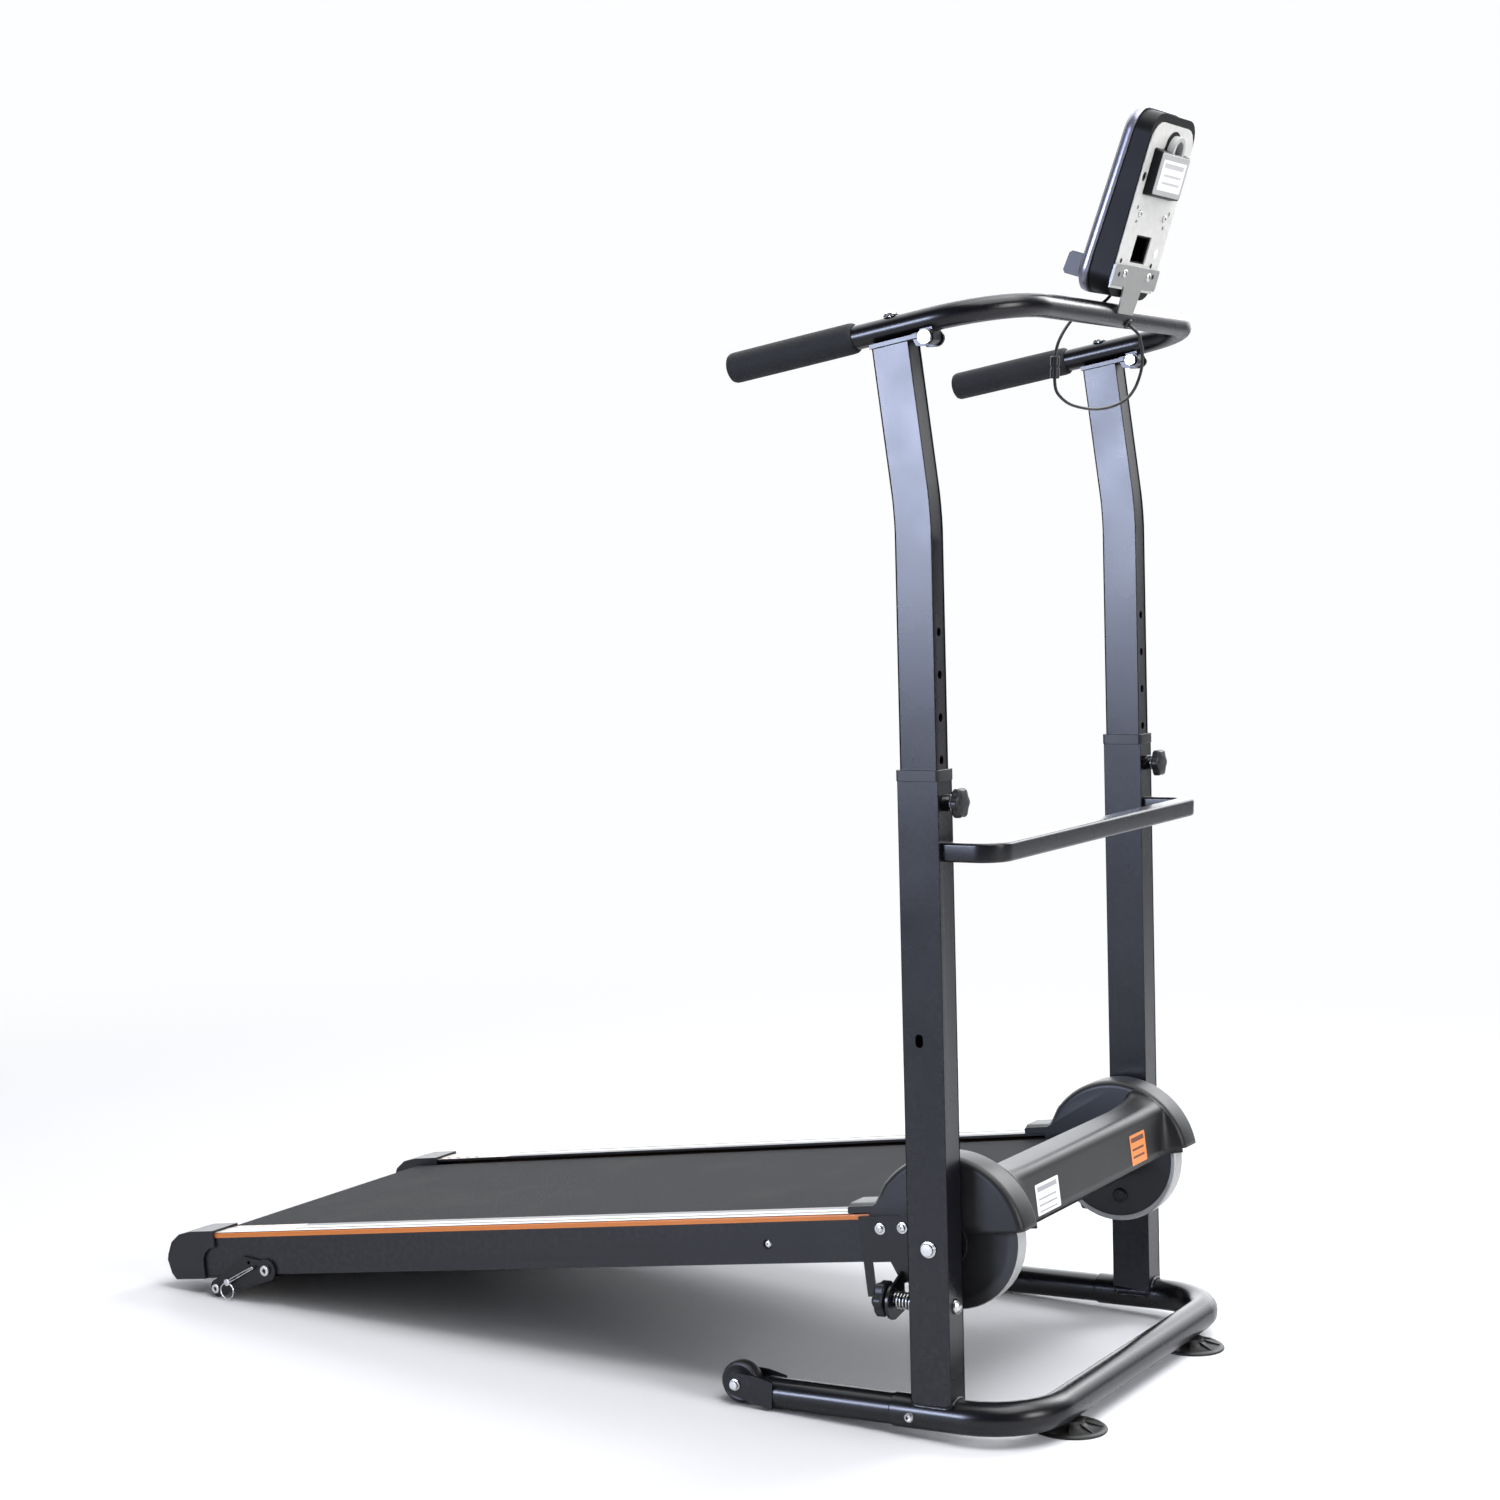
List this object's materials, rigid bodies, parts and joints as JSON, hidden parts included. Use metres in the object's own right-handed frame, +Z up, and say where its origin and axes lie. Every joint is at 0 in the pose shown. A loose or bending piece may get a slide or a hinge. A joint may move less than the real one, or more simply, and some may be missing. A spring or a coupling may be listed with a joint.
{
  "type": "treadmill",
  "caption": "Manual folding treadmill with a black tubular frame, twin flywheels under a moulded hood, telescoping uprights, a padded handlebar and a small battery console.",
  "frame": {"origin": "centre of the footprint on the floor", "axes": "+X to the user's right, +Y to the front (mast end), +Z up"},
  "size_m": [0.5946, 1.1891, 1.381],
  "materials": {
    "frame_paint": "satin-gloss black powder coat on steel",
    "rail_paint": "black rail with printed tread strip, white and orange edge lines",
    "zinc": "bright zinc plate",
    "plate_metal": "galvanised sheet",
    "black_plastic": "moulded black plastic",
    "hood_plastic": "semi-gloss moulded hood",
    "rubber": "soft black rubber",
    "foam": "closed-cell foam grip",
    "belt": "woven-texture running belt",
    "board": "fibreboard with a waxed face",
    "cast_iron": "black casting with a machined rim",
    "window": "dark display window",
    "door_plastic": "light grey plastic",
    "button_plastic": "red moulded button"
  },
  "bodies": {
    "stand": {"base_front_tube": "frame_paint", "crossbar": "frame_paint", "base_leg_right": "frame_paint", "base_leg_left": "frame_paint", "wheel_bolt_right": "zinc", "wheel_bolt_left": "zinc", "suction_foot_right": "rubber", "suction_foot_left": "rubber", "lower_post_right": "frame_paint", "lower_post_left": "frame_paint", "post_collar_right": "black_plastic", "post_collar_left": "black_plastic", "pivot_bolt_right": "zinc", "pivot_bolt_left": "zinc", "lock_bolt_right": "zinc", "lock_bolt_left": "zinc"},
    "mast": {"upper_post_right": "frame_paint", "upper_post_left": "frame_paint", "post_saddle_right": "frame_paint", "post_saddle_left": "frame_paint", "hinge_bolt_right": "zinc", "hinge_bolt_left": "zinc"},
    "handlebar": {"handlebar_tube": "frame_paint", "console_bracket": "plate_metal", "console_plate": "plate_metal", "console_back_shell": "black_plastic", "console_front_shell": "black_plastic", "display_window": "window", "sensor_lead": "rubber", "lead_plug": "black_plastic", "lead_grommet": "rubber", "grip_right": "foam", "grip_left": "foam", "lock_screw_right": "zinc", "lock_screw_left": "zinc"},
    "deck": {"deck_board": "board", "running_belt": "belt", "hood": "hood_plastic", "side_rail_right": "rail_paint", "side_rail_left": "rail_paint", "front_bracket_right": "frame_paint", "front_bracket_left": "frame_paint", "rear_cap_right": "black_plastic", "rear_cap_left": "black_plastic"},
    "front_drum": {"front_roller": "cast_iron", "flywheel_right": "cast_iron", "flywheel_left": "cast_iron"},
    "rear_drum": {"rear_roller": "cast_iron"},
    "wheel_right_body": {"wheel_right": "black_plastic"},
    "height_knob_right_body": {"height_knob_right": "black_plastic"},
    "lock_knob_right_body": {"lock_knob_right": "black_plastic"},
    "wheel_left_body": {"wheel_left": "black_plastic"},
    "height_knob_left_body": {"height_knob_left": "black_plastic"},
    "lock_knob_left_body": {"lock_knob_left": "black_plastic"},
    "rear_foot": {"rear_foot_frame": "frame_paint", "foot_pin_right": "zinc", "foot_pin_left": "zinc"},
    "button_body": {"mode_button": "button_plastic"},
    "door_body": {"battery_door": "door_plastic"}
  },
  "joints": [
    {"name": "deck_fold", "type": "hinge", "parent": "stand", "child": "deck", "pos_m": [0, 0.4398, 0.2007], "axis": [-1, 0, 0], "range_deg": [0, 60]},
    {"name": "front_roller_spin", "type": "hinge", "parent": "deck", "child": "front_drum", "pos_m": [0, 0.4398, 0.2007], "axis": [1, 0, 0], "continuous": true},
    {"name": "rear_roller_spin", "type": "hinge", "parent": "deck", "child": "rear_drum", "pos_m": [0, -0.54822, 0.04627], "axis": [1, 0, 0], "continuous": true},
    {"name": "wheel_right_spin", "type": "hinge", "parent": "stand", "child": "wheel_right_body", "pos_m": [0.275, 0.2155, 0.023], "axis": [1, 0, 0], "continuous": true},
    {"name": "height_knob_right_pull", "type": "slide", "parent": "stand", "child": "height_knob_right_body", "axis": [0, 0.999, 0.0454], "range_m": [0, 0.01], "stiffness_N_per_m": 300, "springref_m": -0.004},
    {"name": "lock_knob_right_pull", "type": "slide", "parent": "deck", "child": "lock_knob_right_body", "axis": [0, -0.999, -0.0454], "range_m": [0, 0.012], "stiffness_N_per_m": 300, "springref_m": -0.004},
    {"name": "wheel_left_spin", "type": "hinge", "parent": "stand", "child": "wheel_left_body", "pos_m": [-0.275, 0.2155, 0.023], "axis": [1, 0, 0], "continuous": true},
    {"name": "height_knob_left_pull", "type": "slide", "parent": "stand", "child": "height_knob_left_body", "axis": [0, 0.999, 0.0454], "range_m": [0, 0.01], "stiffness_N_per_m": 300, "springref_m": -0.004},
    {"name": "lock_knob_left_pull", "type": "slide", "parent": "deck", "child": "lock_knob_left_body", "axis": [0, -0.999, -0.0454], "range_m": [0, 0.012], "stiffness_N_per_m": 300, "springref_m": -0.004},
    {"name": "rear_foot_fold", "type": "hinge", "parent": "deck", "child": "rear_foot", "pos_m": [0, -0.44744, 0.04319], "axis": [1, 0, 0], "range_deg": [0, 35]},
    {"name": "mast_height", "type": "slide", "parent": "stand", "child": "mast", "axis": [0, -0.0454, 0.999], "range_m": [-0.1736, 0]},
    {"name": "handlebar_fold", "type": "hinge", "parent": "mast", "child": "handlebar", "pos_m": [0, 0.4156, 1.1305], "axis": [-1, 0, 0], "range_deg": [0, 75]},
    {"name": "button_press", "type": "slide", "parent": "handlebar", "child": "button_body", "axis": [0, 0.9613, -0.2756], "range_m": [0, 0.0015], "stiffness_N_per_m": 200, "springref_m": -0.001},
    {"name": "battery_door_open", "type": "hinge", "parent": "handlebar", "child": "door_body", "pos_m": [0, 0.54679, 1.29073], "axis": [-1, 0, 0], "range_deg": [0, 60]}
  ],
  "couplings": [
    {"joint": "rear_roller_spin", "follows": "front_roller_spin", "ratio": 1.25}
  ]
}
